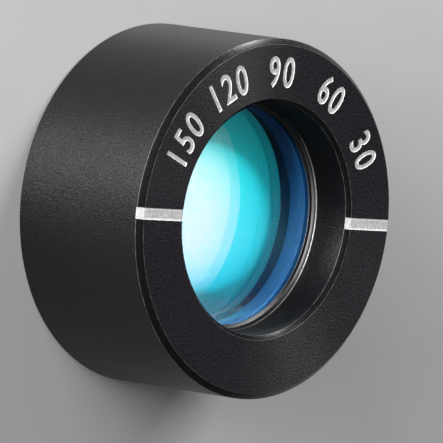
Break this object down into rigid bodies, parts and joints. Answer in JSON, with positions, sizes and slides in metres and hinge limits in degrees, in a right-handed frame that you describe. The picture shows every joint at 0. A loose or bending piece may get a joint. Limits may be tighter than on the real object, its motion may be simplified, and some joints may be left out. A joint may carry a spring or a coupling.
{
  "type": "zero-order waveplate",
  "caption": "Air-spaced zero-order waveplate: coated quartz plates in a black anodised ring mount with engraved axis marks on its front face.",
  "frame": {"origin": "centre of the rear face, on which the part stands", "axes": "+Z along the optical axis, out of the marked front face; +X along one of the two axis marks"},
  "size_m": [0.0254, 0.0254, 0.012],
  "materials": {
    "black_anodised_mount": "fine bead-blasted, black anodised",
    "coated_quartz": "polished, with a coating that reflects blue to cyan",
    "spacer_anodised": "matte dark blue anodised",
    "black_anodised_ring": "satin black anodised",
    "clear_adhesive": "clear, glossy, slightly ragged edge"
  },
  "bodies": {
    "root": {"mount_body": "black_anodised_mount", "front_plate": "coated_quartz", "rear_plate": "coated_quartz", "plate_spacer": "spacer_anodised", "retaining_ring": "black_anodised_ring", "edge_bond": "clear_adhesive"}
  },
  "joints": []
}
